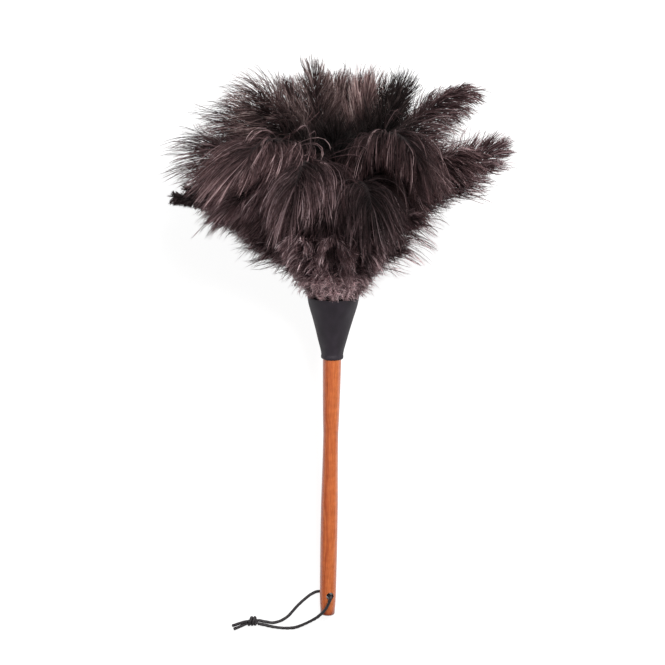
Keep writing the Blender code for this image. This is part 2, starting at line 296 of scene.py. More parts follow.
def ramp(make, value, stops):
    """A colour that changes with a value, through the stops given as (place, colour)."""
    node = make("ShaderNodeValToRGB", {"Fac": value})
    while len(node.color_ramp.elements) < len(stops):
        node.color_ramp.elements.new(0.5)
    for element, (place, colour) in zip(node.color_ramp.elements, stops):
        element.position = place
        element.color = (*colour, 1.0)
    return node.outputs["Color"]


def scaled(make, vector, factors):
    return make("ShaderNodeVectorMath", {0: vector, 1: factors}, operation="MULTIPLY").outputs[0]


def noise(make, place, scale, detail=3.0, rough=0.5):
    inputs = {"Vector": place, "Scale": scale, "Detail": detail, "Roughness": rough}
    return make("ShaderNodeTexNoise", inputs).outputs["Fac"]


def compute(make, operation, *values):
    return make("ShaderNodeMath", dict(enumerate(values)), operation=operation).outputs[0]


def blend(make, kind, share, first, second):
    """One colour mixed into another. Node inputs 6 and 7 are its two colours."""
    node = make("ShaderNodeMix", {0: share}, data_type="RGBA", blend_type=kind)
    for key, colour in ((6, first), (7, second)):
        connect(node, {key: (*colour, 1.0) if isinstance(colour, tuple) else colour})
    return node.outputs[2]


def veiled(make, share, colour, value, stops):
    """A colour multiplied by a share of another colour that changes with a value."""
    return blend(make, "MULTIPLY", share, colour, ramp(make, value, stops))


WHITE = (1.0, 1.0, 1.0)
QUILL_COLOUR = (0.020, 0.014, 0.015)


def plume_material(name, root, tip):
    """Barbs: dark at the root, partly as painted shade deep among the barbs, paler towards the tip, each
    strand and plume a little different.

    The strand channels are the place along the strand, its chance, its tone with the painted shade inside
    the head, and 1 for a quill.
    """
    material, shader, make = new_material(name)
    strand = make("ShaderNodeAttribute", attribute_name="strand")
    along, chance, tone = make("ShaderNodeSeparateColor", {"Color": strand.outputs["Color"]}).outputs
    mottle = noise(make, make("ShaderNodeTexCoord").outputs["Object"], 55.0, 4.0)
    fade = compute(make, "ADD", along, compute(make, "MULTIPLY_ADD", mottle, 0.9, -0.45))
    middle = tuple(0.70 * a + 0.30 * b for a, b in zip(root, tip))
    colour = ramp(make, fade, [(0.0, root), (0.45, middle), (1.0, tip)])
    # most strands are dark, and a few are far paler: partly their own tone, partly painted highlights
    lift = compute(make, "MULTIPLY_ADD", compute(make, "POWER", chance, 4.0), 4.2, 0.24)
    # the tone channel brings in the painted shade inside the head
    colour_with_painted_light = scaled(make, colour, compute(make, "MULTIPLY", lift, tone))
    # the pale strands are tinted grey, the colour of a painted highlight, and the dark ones stay red
    painted_highlight_tint = [(0.0, (1.0, 0.66, 0.68)), (0.55, (1.0, 0.88, 0.90)), (1.0, (0.88, 1.0, 1.0))]
    tinted = scaled(make, colour_with_painted_light, ramp(make, chance, painted_highlight_tint))
    inputs = {
        "Base Color": blend(make, "MIX", strand.outputs["Alpha"], tinted, QUILL_COLOUR),
        "Roughness": 0.62,
        "Specular IOR Level": 0.12,
        "Sheen Weight": 0.04,
        "Sheen Roughness": 0.45,
        "Sheen Tint": (0.72, 0.64, 0.64, 1.0),
    }
    connect(shader, inputs)
    return material


# ---------------------------------------------------------------- barbs

BARB_STEPS = 8
BARB_SIDES = 3
BARB_RADIUS = 0.00025
BARB_SHORTEST = 0.006
BARB_LONGEST = 0.095
HOOK = 3.0  # how much more a barb curls at its very tip than along it
DROOP = unit(np.array([0.0, -1.0, -0.25]))  # down the photo, and a little towards the table
STUB_BARB = 0.0095  # the barbs of a plume's blunt end
STUB_SPREAD = 58.0
STUB_TONE = 0.30
DOWN_COUNT = 520  # the strands of down on one plume
DOWN_SHARE = 0.34  # the share of the rachis that has down
DOWN_SHORTEST = 0.010
DOWN_LONGEST = 0.022
DOWN_MOUTH = 0.015  # rings bound wider than this at the mouth have down
DOWN_PALE = 0.52
# Painted shade: inside the head the barbs' colour is darkened, as little light reaches there; its heart
# narrows to the neck at the mouth and ends below the top.
HEAD_NECK = 0.020
HEAD_FLARE = 0.85
HEAD_RADIUS = 0.110
HEART_TOP = 0.150
HEART_EDGE = 0.050
PAINTED_HEART_LIGHT = 0.08


def drift(count, step, chance):
    """Random values that change smoothly from one barb to the next."""
    knots = chance.normal(size=count // step + 3)
    return np.interp(np.arange(count), np.arange(len(knots)) * step, knots)


def eased(value):
    """A smooth step from 0 to 1."""
    value = np.clip(value, 0, 1)
    return value * value * (3 - 2 * value)


def in_clumps(count, smallest, largest, chance):
    """Each barb's clump, and the barb that leads the clump."""
    sizes = chance.integers(smallest, largest + 1, size=count)
    owner = np.repeat(np.arange(count), sizes)[:count]
    starts = np.searchsorted(owner, np.arange(owner[-1] + 1))
    ends = np.searchsorted(owner, np.arange(owner[-1] + 1), side="right")
    return owner, ((starts + ends - 1) // 2)[owner]


def at(places, values):
    """Values from a plume's line, taken at places along it (0 to 1)."""
    spine = np.linspace(0, 1, len(values))
    return np.stack([np.interp(places, spine, values[:, i]) for i in range(3)], -1)


def barb_paths(line, turn, length, chance, look):
    """Every barb of one plume as a path of BARB_STEPS points, from its rachis outwards.

    Barbs cling together in clumps towards their tips, and each clump goes its own way.
    Returns the paths, and each barb's shade, tone and paleness.
    """
    run = unit(np.gradient(line, axis=0))
    side = np.tile(outward(turn + 90.0), (len(line), 1))
    flat = unit(np.cross(run, (0.0, 0.0, 1.0)))
    flat = flat * np.where((flat * side).sum(-1, keepdims=True) < 0, -1.0, 1.0)
    side = unit(side * (1 - look["facing"]) + flat * look["facing"])
    face = unit(np.cross(side, run))
    hang = unit(DROOP + look["aside"] * outward(turn) - look["left"] * RIGHT)
    all_paths, all_shades, all_tones, all_pales = [], [], [], []
    for hand in (-1.0, 1.0):
        count = int(length / look["spacing"])
        owner, leader = in_clumps(count, 2, look["most"], chance)
        own = chance.normal(size=(4, count))[:, owner]
        t = (np.arange(count) + chance.uniform(0, 1, count)) / count
        t = 0.015 + 0.985 * t ** (1 - 2 * look["stub"])
        stubby = t > 1 - look["stub"]
        ahead, up = unit(at(t, run)), unit(at(t, face))
        out = unit(np.cross(ahead, up)) * hand
        reach = look["barb"] * (0.22 + 0.78 * eased(t / 0.5)) * (1 - look["taper"] * t**4)
        reach *= 1 + 0.10 * drift(count, 7, chance) + 0.10 * own[0] + 0.05 * chance.normal(size=count)
        inwards = out[:, 0] * outward(turn)[0] < 0
        reach = np.where(inwards, look["inwards"] * reach, reach)
        below = eased((-out[:, 1] - 0.1) / 0.4) * (1 - eased((t - 0.40) / 0.35))
        reach = np.clip(reach * (1 - look["trim"] * below), BARB_SHORTEST, BARB_LONGEST)
        reach = np.where(stubby, STUB_BARB * chance.uniform(0.7, 1.1, count), reach)
        spread = radians(look["spread"]) * (0.5 + 0.5 * eased(t / 0.4)) * (1 - 0.7 * t**8)
        spread = np.where(stubby, radians(STUB_SPREAD), spread)
        spread = spread + radians(7) * drift(count, 9, chance) + look["stray"] * radians(8) * own[1]
        lift = radians(look["lift"]) + radians(12) * drift(count, 9, chance)
        lift = lift + look["stray"] * radians(16) * own[2] + radians(4) * chance.normal(size=count)
        heading = (
            ahead * np.cos(spread)[:, None]
            + out * (np.sin(spread) * np.cos(lift))[:, None]
            + up * (np.sin(spread) * np.sin(lift))[:, None]
        )
        wander = chance.normal(size=(count, 3)) * 0.22 + chance.normal(size=(count, 3))[owner] * 0.36
        wave = chance.normal(size=(count, 3)) * 0.25 + chance.normal(size=(count, 3))[owner] * 0.60
        hook = wave[::-1] * HOOK
        sweep = (look["sweep"] + 0.15 * drift(count, 8, chance))[:, None] * ahead
        fall = look["droop"] * (1 + 0.20 * drift(count, 9, chance) + 0.30 * own[3]) * eased(t / 0.35)
        points = [at(t, line)]
        step = reach[:, None] / (BARB_STEPS - 1)
        for k in range(BARB_STEPS - 1):
            u = (k + 0.5) / (BARB_STEPS - 1)
            pull = sweep + fall[:, None] * (0.4 + 1.2 * u) * hang + wander * u + wave * sin(2 * pi * u)
            pull = pull + hook * u**8
            heading = unit(heading + pull / (BARB_STEPS - 1))
            points.append(points[-1] + heading * step)
        paths = np.stack(points, 1)
        cling = look["clump"] * chance.uniform(0.6, 1.0, size=count)
        weight = (cling[:, None] * np.linspace(0, 1, BARB_STEPS) ** 1.2)[..., None]
        all_paths.append(paths * (1 - weight) + paths[leader] * weight)
        shade = 0.55 * chance.uniform(0, 1, count)[owner] + 0.45 * chance.uniform(0, 1, count)
        base = look["base"] * (1 - eased(t / 0.35))
        all_shades.append(shade ** look["sparse"] * (1 - base) + base)
        all_pales.append(DOWN_PALE * base)
        all_tones.append(np.where(stubby, STUB_TONE, 1.0))
    return [np.concatenate(values) for values in (all_paths, all_shades, all_tones, all_pales)]


def painted_daylight(points):
    """The share of light that reaches a point, painted into the barbs' colour as shade: all near the
    head's surface, little in its heart.
    """
    away = points - BUTT
    along = away @ ALONG
    radius = np.linalg.norm(away - along[..., None] * ALONG, axis=-1)
    past = along - MOUTH
    depth = radius / np.clip(HEAD_NECK + HEAD_FLARE * past, HEAD_NECK, HEAD_RADIUS)
    out = eased((depth - 0.40) / 0.50)
    top = eased((past - HEART_TOP) / HEART_EDGE)
    return PAINTED_HEART_LIGHT + (1 - PAINTED_HEART_LIGHT) * np.maximum(out, top)


def down_paths(line, chance):
    """Short curly down on the lowest part of a plume, shortest at the ferrule's rim."""
    run = unit(np.gradient(line, axis=0))
    t = DOWN_SHARE * chance.uniform(0, 1, DOWN_COUNT) ** 1.5
    heading = unit(unit(at(t, run)) * 1.25 + unit(chance.normal(size=(DOWN_COUNT, 3))) * 0.85)
    reach = DOWN_SHORTEST + (DOWN_LONGEST - DOWN_SHORTEST) * chance.uniform(0, 1, DOWN_COUNT) ** 1.5
    reach *= 0.3 + 0.7 * eased(t / 0.14)
    curl = chance.normal(size=(DOWN_COUNT, 3)) * 1.6
    points = [at(t, line)]
    for _ in range(BARB_STEPS - 1):
        curl = curl + chance.normal(size=(DOWN_COUNT, 3)) * 0.9
        heading = unit(heading + curl / (BARB_STEPS - 1))
        points.append(points[-1] + heading * reach[:, None] / (BARB_STEPS - 1))
    return np.stack(points, 1)


# How a plume looks: its longest barbs, in metres, the angles at which they leave the rachis, and the
# pulls on them. "sweep" is towards the tip, "droop" is DROOP's, with "aside" and "left" added to it.
LOOK = dict(
    barb=0.060,
    spread=40.0,  # degrees from the rachis
    lift=-6.0,  # degrees out of the plume's plane
    sweep=0.10,
    droop=1.0,
    aside=0.20,  # away from the handle's axis
    left=0.0,
    clump=0.38,  # how closely the barbs of a clump meet at their tips
    most=3,  # barbs in the largest clump
    stray=1.0,  # how far each clump goes its own way
    facing=0.5,  # 0 where the plume faces the handle's axis, 1 where it faces up
    taper=0.25,  # how much shorter the barbs get by the tip
    trim=0.0,  # how much shorter the low barbs are on the side towards the handle
    inwards=1.0,  # the length of the barbs on the side towards the middle, as a share
    spacing=0.00021,  # metres from one barb to the next, on each side
    stub=0.0,  # the share of the plume that is a blunt dark end
    tone=1.0,  # how bright the plume is
    sparse=1.0,  # the higher, the fewer pale strands
    base=0.0,  # how pale the barbs are near the mouth
)
LOOKS = {
    "core": dict(barb=0.042, droop=0.1, spread=42.0, sweep=0.35),
    "inner": dict(barb=0.052, droop=0.8),
    "middle": dict(barb=0.052, droop=1.2, base=0.5),
    "outer": dict(barb=0.036, droop=1.2, base=0.6),
}
HANGING = dict(barb=0.088, droop=3.0, spread=70.0, clump=0.5, facing=0.2, stray=1.3, inwards=0.6)
BEHIND = dict(barb=0.040, droop=0.1)
FLAT = dict(barb=0.042, droop=0.3, spread=52.0)
UPRIGHT = dict(barb=0.040, droop=0.0, spread=34.0, sweep=0.6, facing=0.9, taper=0.0, spacing=0.00014)
SIDE = dict(barb=0.060, droop=1.6, spread=55.0, facing=0.8, taper=0.0, aside=0.9)
VANE = dict(
    barb=0.040, spread=44.0, lift=0.0, sweep=0.5, droop=0.3, clump=0.3, most=4, stray=0.6,
    facing=1.0, taper=0.35, spacing=0.00018,
)
BIG_VANE = dict(VANE, spacing=0.00014)
FRONT = dict(HANGING, inwards=0.9)
DARK_VANE = dict(
    barb=0.038, spread=36.0, sweep=0.4, droop=0.0, facing=0.9, taper=0.0, tone=0.20, spacing=0.00011,
)
THIN = dict(barb=0.018, droop=0.4, spread=30.0, tone=1.3, trim=0.6)
BIB = dict(barb=0.030, droop=1.8, tone=2.2)
LEFT_SIDE = dict(SIDE, left=0.5, spacing=0.00012)
TRIMMED = dict(FLAT, trim=0.6)
# Each plume's own look, on top of its ring's, numbered from 1 as in the frame.
PLUME_LOOKS = {
    ("core", 1): DARK_VANE,
    # painted shade: darkened, as it stands in the shaded hollow in the head's middle
    ("core", 2): dict(tone=0.22, sparse=1.4),
    ("core", 3): dict(SIDE, barb=0.052, droop=1.0, tone=0.9, spacing=0.00015),
    ("core", 4): dict(tone=0.9, barb=0.048, spread=44.0, facing=0.9, sweep=0.6, taper=0.45),
    ("core", 5): UPRIGHT,
    ("core", 6): dict(UPRIGHT, tone=1.5),
    ("inner", 1): dict(BIG_VANE, barb=0.056, droop=1.1, taper=0.55, inwards=0.65),
    ("inner", 2): dict(VANE, barb=0.048, droop=1.4, spacing=0.00020),
    ("inner", 3): dict(HANGING, barb=0.078, aside=0.1, sparse=1.5),
    # painted shade: darkened, as it stands in the shaded hollow in the head's middle
    ("inner", 4): dict(barb=0.045, droop=0.6, tone=0.22, sparse=1.4),
    ("inner", 5): dict(HANGING, left=0.55, tone=1.1),
    ("inner", 6): dict(HANGING, barb=0.048, droop=2.2, left=0.8, tone=1.1),
    ("inner", 7): dict(LEFT_SIDE, barb=0.056),
    ("inner", 8): dict(LEFT_SIDE, barb=0.054, droop=1.2, tone=0.9),
    ("inner", 9): dict(BEHIND, facing=0.6, spacing=0.00016),
    ("inner", 10): dict(BEHIND, spacing=0.00016),
    ("inner", 11): dict(UPRIGHT, tone=1.4),
    ("inner", 12): dict(BEHIND, tone=0.5, barb=0.020, spread=30.0),
    ("middle", 1): dict(BIG_VANE, barb=0.050, trim=0.75, tone=1.3, taper=0.5),
    ("middle", 2): dict(VANE, barb=0.020, droop=0.6, trim=0.5),
    ("middle", 3): dict(FRONT, barb=0.066, tone=0.55, left=-0.1, sparse=1.6),
    ("middle", 4): dict(FRONT, barb=0.072, tone=0.85, left=0.2),
    ("middle", 5): dict(HANGING, barb=0.054, left=0.6, tone=1.15),
    ("middle", 6): dict(barb=0.030, droop=0.8, tone=1.4, stub=0.20, spacing=0.00013, clump=0.2),
    ("middle", 7): dict(barb=0.036, droop=0.6, tone=1.8),
    ("middle", 11): TRIMMED,
    ("middle", 12): dict(VANE, barb=0.034, trim=0.75),
    **{("outer", number): THIN for number in (1, 2)},
    **{("outer", number): BIB for number in (3, 4, 5)},
    ("outer", 6): dict(barb=0.022, droop=0.6, tone=1.3, trim=0.4),
    ("outer", 7): dict(barb=0.024, droop=0.6, stub=0.30, spacing=0.00011, clump=0.2, trim=0.4),
    ("outer", 11): TRIMMED,
    ("outer", 12): dict(barb=0.050, droop=2.0, aside=0.8, tone=2.4, spacing=0.0006),
    **{(ring, number): FLAT for ring in ("middle", "outer") for number in (8, 9, 10)},
}


def grid_cells(owners, count, along, across):
    """Each tube's own cell of the UV square, so that a bake keeps the strands apart."""
    columns = int(np.ceil(np.sqrt(count)))
    rows = int(np.ceil(count / columns))
    u = (owners % columns + 0.15 + 0.7 * across) / columns
    v = (owners // columns + 0.1 + 0.8 * along) / rows
    return np.stack([u, v], -1)


def make_plume(ring, number, materials):
    """One plume in one piece: its barbs, its down, and its quill and rachis."""
    chance = np.random.default_rng(100 * list(RINGS).index(ring) + number)
    look = {**LOOK, **LOOKS[ring], **PLUME_LOOKS[ring, number + 1]}
    size = RINGS[ring]
    line, turn = rachis_line(ring, number)
    paths, shade, tones, pale = barb_paths(line, turn, PLUMES[ring][number][0], chance, look)
    thick = chance.uniform(0.75, 1.2, size=len(paths))
    if size["mouth"] > DOWN_MOUTH:
        paths = np.concatenate([paths, down_paths(line, chance)])
        shade = np.concatenate([shade, chance.uniform(0.55, 0.90, DOWN_COUNT)])
        thick = np.concatenate([thick, np.full(DOWN_COUNT, 0.7)])
        tones = np.concatenate([tones, np.ones(DOWN_COUNT)])
        pale = np.concatenate([pale, np.full(DOWN_COUNT, DOWN_PALE)])
    paths = above_rim(soft_limit(pressed(paths, BARB_FLOOR), CROWN, CROWN_SOFTNESS, -1))
    count, steps = paths.shape[:2]
    radii = BARB_RADIUS * (1 - 0.45 * np.linspace(0, 1, steps) ** 3) * thick[:, None]
    reference = unit(chance.normal(size=(count, 1, 3)))
    points, quads, tris, owner, place, around = tubes(paths, radii, BARB_SIDES, reference)
    tone = look["tone"] * chance.uniform(0.8, 1.2)
    # painted shade: the barbs' colour darkens inside the head
    tone_and_painted_shade = tone * tones[owner] * painted_daylight(points)
    colour_place = pale[owner] + (1 - pale[owner]) * place
    channels = np.stack([colour_place, shade[owner], tone_and_painted_shade, np.zeros(len(owner))], -1)
    uv = grid_cells(owner, count + 1, place, around)

    # the quill and rachis, from inside the ferrule to the tip
    bound = BUTT + outward(turn) * size["bound"]
    root = CORE_ROOT if ring == "core" else QUILL_ROOT
    quill = [bound + ALONG * root, bound + ALONG * (FERRULE_FOOT + size["splay"])]
    stem = np.concatenate([quill, line[::2]])[None]
    thin = 1 - QUILL_TAPER * np.linspace(0, 1, len(line[::2])) ** 0.8
    radii = QUILL_RADIUS * np.concatenate([[1, 1], thin])[None]
    reference = outward(turn + 90.0)[None, None]
    q_points, q_quads, q_tris, q_owner, q_place, q_around = tubes(stem, radii, QUILL_SIDES, reference)
    nothing = np.zeros(len(q_place))
    q_channels = np.stack([q_place, nothing, nothing + tone, nothing + 1], -1)
    shift = len(points)
    obj = mesh_object(
        f"plumage_{ring}_{number + 1:02d}",
        np.concatenate([points, q_points]),
        np.concatenate([quads, q_quads + shift]),
        np.concatenate([tris, q_tris + shift]),
        materials[ring],
        np.concatenate([channels, q_channels]),
        np.concatenate([uv, grid_cells(q_owner + count, count + 1, q_place, q_around)]),
    )
    stand_for(obj, f"plume_{ring}_{number + 1:02d}")


PLUMAGE_COLOURS = {  # each ring's barbs at their roots, dark partly as painted shade, and at their tips
    "core": ((0.024, 0.012, 0.0125), (0.28, 0.200, 0.188)),
    "inner": ((0.020, 0.0105, 0.0110), (0.24, 0.158, 0.158)),
    "middle": ((0.020, 0.0105, 0.0110), (0.245, 0.166, 0.170)),
    "outer": ((0.024, 0.0145, 0.0150), (0.270, 0.194, 0.198)),
}


def make_plumes():
    materials = {
        ring: plume_material(f"{ring}_plumage", root, tip)
        for ring, (root, tip) in PLUMAGE_COLOURS.items()
    }
    for ring, size in RINGS.items():
        for number in range(size["count"]):
            make_plume(ring, number, materials)


# ---------------------------------------------------------------- handle

HANDLE_PROFILE = (  # height above the butt, radius
    (0.0000, 0.0064), (0.0003, 0.0069), (0.0012, 0.0073), (0.0048, 0.0074),
    (0.0120, 0.0079), (0.0210, 0.0082), (0.0320, 0.0083), (0.0700, 0.0086),
    (0.1180, 0.0085), (0.1380, 0.0081), (0.1670, 0.00765), (0.1870, 0.0075),
    (0.2020, 0.0080), (0.2320, 0.0087), (0.2600, 0.0091), (0.2700, 0.0091),
)
BUTT_ROWS = 3  # the first rows keep their corners
TENON_RADIUS = 0.0052
TENON_END_RADIUS = 0.0048
TENON_LENGTH = 0.0360
TENON_EDGE = 0.0006
HOLE_HEIGHT = 0.0210
HOLE_RADIUS = 0.0038
HOLE_TURN = 17.0  # degrees that the hole leans away from straight up
DRILL_LENGTH = 0.04
HANDLE_SIDES = 128
WORN_EDGE = 0.0004
NEEDLE = 0.0001  # the radius at which a turned shape's flat end is closed


def smooth_profile(profile, steps):
    """More points along a profile, on a smooth curve that never overshoots it."""
    heights, radii = np.array(profile).T
    slopes = np.gradient(radii, heights)
    fine_heights, fine_radii = [], []
    for i in range(len(heights) - 1):
        gap = heights[i + 1] - heights[i]
        secant = (radii[i + 1] - radii[i]) / gap
        first, last = (np.clip(m, min(0, 3 * secant), max(0, 3 * secant)) for m in slopes[i : i + 2])
        u = np.arange(steps) / steps
        fine_heights.append(heights[i] + u * gap)
        fine_radii.append(
            radii[i] * (1 + 2 * u) * (1 - u) ** 2
            + gap * first * u * (1 - u) ** 2
            + radii[i + 1] * u * u * (3 - 2 * u)
            + gap * last * u * u * (u - 1)
        )
    fine_heights.append(heights[-1:])
    fine_radii.append(radii[-1:])
    return np.concatenate(fine_heights), np.concatenate(fine_radii)


def revolve(heights, radii, sides):
    """Rows of (right, up, along) points and the quads of a surface turned about the handle's axis."""
    turn = np.arange(sides) * 2 * pi / sides
    rows = radii[:, None, None] * np.stack([np.cos(turn), np.sin(turn)], -1)
    levels = np.broadcast_to(heights[:, None, None], rows.shape[:2] + (1,))
    return np.concatenate([rows, levels], -1), ring_quads(len(heights), sides)


def grain_channels(points):
    """Each point's place in the handle's own frame, in centimetres, for the grain to follow.

    The last channel is 0 inside the hang hole and 1 elsewhere, for the painted shade in the hole.
    """
    away = points - BUTT
    bore = outward(90.0 - HOLE_TURN)
    from_hole = away - ALONG * HOLE_HEIGHT
    from_hole = np.linalg.norm(from_hole - (from_hole @ bore)[:, None] * bore, axis=1)
    inside = (from_hole < HOLE_RADIUS + 0.1 * WORN_EDGE) & (away @ ALONG < 2 * HOLE_HEIGHT)
    away = away * 100
    return np.stack([away @ RIGHT, away @ UP, away @ ALONG, 1.0 - inside], -1)


def wood_material():
    """Stained and varnished wood with the grain along the handle."""
    material, shader, make = new_material("varnished_wood")
    grain = make("ShaderNodeAttribute", attribute_name="grain")
    place = grain.outputs["Vector"]
    right, up, along = make("ShaderNodeSeparateXYZ", {"Vector": place}).outputs
    bend = noise(make, scaled(make, place, (0.9, 0.9, 0.16)), 1.0, 2.0)
    across = compute(make, "MULTIPLY_ADD", bend, 1.6, right)
    deep = compute(make, "MULTIPLY", up, 0.35)
    rings = make("ShaderNodeCombineXYZ", {"X": across, "Y": deep, "Z": 0.0})
    bands = noise(make, rings.outputs[0], 3.2, 2.0, 0.6)
    stains = [
        (0.30, (0.450, 0.086, 0.026)),
        (0.46, (0.630, 0.146, 0.038)),
        (0.56, (0.720, 0.196, 0.055)),
        (0.72, (0.800, 0.276, 0.108)),
    ]
    stain = ramp(make, bands, stains)
    streaks = noise(make, scaled(make, place, (7.0, 7.0, 0.28)), 2.2, 5.0, 0.65)
    streaked = veiled(make, 0.75, stain, streaks, [(0.32, (0.60, 0.52, 0.46)), (0.60, WHITE)])
    pores = noise(make, scaled(make, place, (30.0, 30.0, 1.3)), 2.6, 2.0, 0.5)
    pored = veiled(make, 0.55, streaked, pores, [(0.30, (0.42, 0.34, 0.30)), (0.42, WHITE)])
    mottle = noise(make, scaled(make, place, (1.2, 1.2, 1.6)), 1.3, 3.0)
    mottled = veiled(make, 0.60, pored, mottle, [(0.35, (0.80, 0.72, 0.70)), (0.62, WHITE)])
    # painted shade: the left side is darker, as if lit from the right; and the stain is heavier where it
    # soaked into the butt's end grain
    shade = compute(make, "MAXIMUM", compute(make, "MULTIPLY_ADD", right, -0.85, 0.02), 0.0)
    shaded = blend(make, "MULTIPLY", compute(make, "MINIMUM", shade, 0.75), mottled, (0.72, 0.56, 0.50))
    soak = [(0.02, (0.37, 0.27, 0.44)), (0.35, (0.76, 0.66, 0.74)), (1.0, WHITE)]
    soaked = veiled(make, 1.0, shaded, along, soak)
    # painted shade: the hang hole's wall is darkened, as shade falls inside it
    bore = [(0.0, (0.10, 0.06, 0.05)), (1.0, WHITE)]
    relief = compute(make, "MULTIPLY_ADD", pores, 0.5, streaks)
    bump = make("ShaderNodeBump", {"Strength": 0.16, "Distance": 0.0003, "Height": relief})
    inputs = {
        "Base Color": veiled(make, 1.0, soaked, grain.outputs["Alpha"], bore),
        "Roughness": compute(make, "MULTIPLY_ADD", streaks, 0.18, 0.30),
        "Coat Weight": 0.55,
        "Coat Roughness": 0.22,
        "Normal": bump.outputs["Normal"],
    }
    connect(shader, inputs)
    return material


def facing(middle, direction):
    """The placement that turns a tool's own Z towards a direction."""
    turned = Vector(direction).to_track_quat("Z", "Y").to_matrix().to_4x4()
    return Matrix.Translation(Vector(middle)) @ turned


def make_handle():
    """The turned handle and its tenon, with the hang hole drilled through and its edges worn."""
    heights, radii = smooth_profile(HANDLE_PROFILE[BUTT_ROWS:], 14)
    end = HANDLE_PROFILE[-1][0]
    butt = np.array([(0.0, NEEDLE), *HANDLE_PROFILE[:BUTT_ROWS]])
    tenon = [(end + TENON_EDGE, TENON_RADIUS), (end + TENON_LENGTH, TENON_END_RADIUS)]
    tail = np.array([*tenon, (end + TENON_LENGTH + TENON_EDGE, NEEDLE)])
    heights = np.concatenate([butt[:, 0], heights, tail[:, 0]])
    radii = np.concatenate([butt[:, 1], radii, tail[:, 1]])
    local, quads = revolve(heights, radii, HANDLE_SIDES)
    points = in_row_frame(local.reshape(-1, 3))
    around = np.arange(HANDLE_SIDES)
    caps = [around[::-1], (len(heights) - 1) * HANDLE_SIDES + around]
    faces = [list(map(int, face)) for face in (*quads, *caps)]
    mesh = bpy.data.meshes.new("handle_blank")
    mesh.from_pydata(points.tolist(), [], faces)
    mesh.materials.append(wood_material())
    handle = add_object("turned_handle", mesh)

    bpy.ops.mesh.primitive_cylinder_add(vertices=96, radius=HOLE_RADIUS, depth=DRILL_LENGTH)
    drill = bpy.context.active_object
    drill.matrix_world = facing(BUTT + ALONG * HOLE_HEIGHT, outward(90.0 - HOLE_TURN))
    cut = handle.modifiers.new("hang hole", "BOOLEAN")
    cut.object = drill
    cut.solver = "EXACT"
    worn = handle.modifiers.new("worn edges", "BEVEL")
    worn.width = WORN_EDGE
    worn.segments = 3
    worn.limit_method = "ANGLE"
    worn.angle_limit = radians(50)
    graph = bpy.context.evaluated_depsgraph_get()
    made = bpy.data.meshes.new_from_object(handle.evaluated_get(graph))
    handle.modifiers.clear()
    handle.data = made
    bpy.data.objects.remove(drill)
    made.shade_smooth()
    made.set_sharp_from_angle(angle=radians(38))
    put_channels(made, "grain", grain_channels(mesh_points(made)))
    stand_for(handle, "handle")


# ---------------------------------------------------------------- ferrule and bindings

FERRULE_PROFILE = (  # height above the foot, radius
    (0.0000, 0.01000), (0.0004, 0.01040), (0.0012, 0.01075), (0.0026, 0.01082),
    (0.0046, 0.01060), (0.0070, 0.01095), (0.0200, 0.01445), (0.0400, 0.01970),
    (0.0606, 0.02520), (0.0613, 0.02530), (0.0617, 0.02510),
)
FERRULE_WALL = 0.0010
FERRULE_SIDES = 180
HANDLE_GAP = 0.0003  # between the sleeve's inside and the handle
SEAM_ANGLE = 285.0
SEAM_STEP = 0.00035
SEAM_FADE = 150.0  # degrees over which the lap thins out again
RIM_WAVE = 0.00035
DENT = 0.00006


def leather_material(name, colour, grain_scale, rough):
    """Fine-grained black leather, paler where it is rubbed."""
    material, shader, make = new_material(name)
    place = make("ShaderNodeAttribute", attribute_name="grain").outputs["Vector"]
    pebbles = {"Vector": place, "Scale": grain_scale}
    cells = make("ShaderNodeTexVoronoi", pebbles, feature="DISTANCE_TO_EDGE").outputs["Distance"]
    fine = noise(make, place, grain_scale * 2.2, 4.0, 0.6)
    broad = noise(make, scaled(make, place, (1.0, 1.0, 0.6)), 1.1, 3.0)
    rubbed = ramp(make, broad, [(0.35, colour), (0.70, tuple(1.55 * c for c in colour))])
    grained = veiled(make, 0.6, rubbed, cells, [(0.0, (0.55, 0.55, 0.55)), (0.12, WHITE)])
    speckles = [(0.3, (0.7, 0.7, 0.7)), (0.7, (1.15, 1.15, 1.15))]
    height = compute(make, "MULTIPLY_ADD", fine, 0.35, compute(make, "MINIMUM", cells, 0.14))
    bump = make("ShaderNodeBump", {"Strength": 0.35, "Distance": 0.0004, "Height": height})
    inputs = {
        "Base Color": veiled(make, 0.5, grained, fine, speckles),
        "Roughness": compute(make, "MULTIPLY_ADD", fine, 0.22, rough),
        "Specular IOR Level": 0.45,
        "Normal": bump.outputs["Normal"],
    }
    connect(shader, inputs)
    return material


